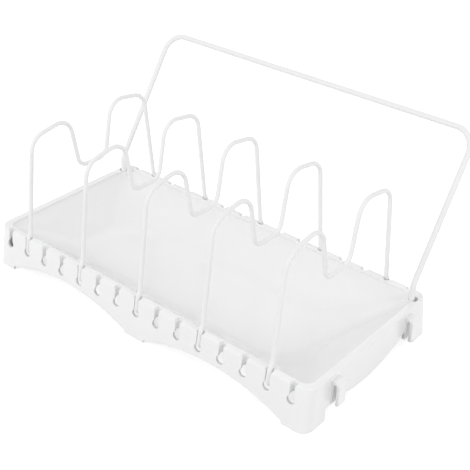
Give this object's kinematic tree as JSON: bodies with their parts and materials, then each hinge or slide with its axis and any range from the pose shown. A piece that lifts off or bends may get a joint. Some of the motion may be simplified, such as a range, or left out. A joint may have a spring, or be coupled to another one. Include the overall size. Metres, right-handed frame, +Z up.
{
  "type": "pot lid rack",
  "caption": "Pot lid rack: a moulded drip tray with keyholes along both sides, M-shaped wire dividers clipped into them, and a leaning wire frame at the back.",
  "frame": {"origin": "on the surface that the rack stands on, under the middle of the box around the whole rack", "axes": "+X along the rack towards the end with the two linking hooks, +Y towards the leaning back frame, +Z up"},
  "size_m": [0.3956, 0.2528, 0.1821],
  "materials": {
    "tray_plastic": "glossy white moulded plastic",
    "wire_coating": "smooth white coating on steel wire"
  },
  "bodies": {
    "root": {"tray": "tray_plastic", "divider_1": "wire_coating", "divider_2": "wire_coating", "divider_3": "wire_coating", "divider_4": "wire_coating", "divider_5": "wire_coating", "back_frame": "wire_coating"}
  },
  "joints": []
}
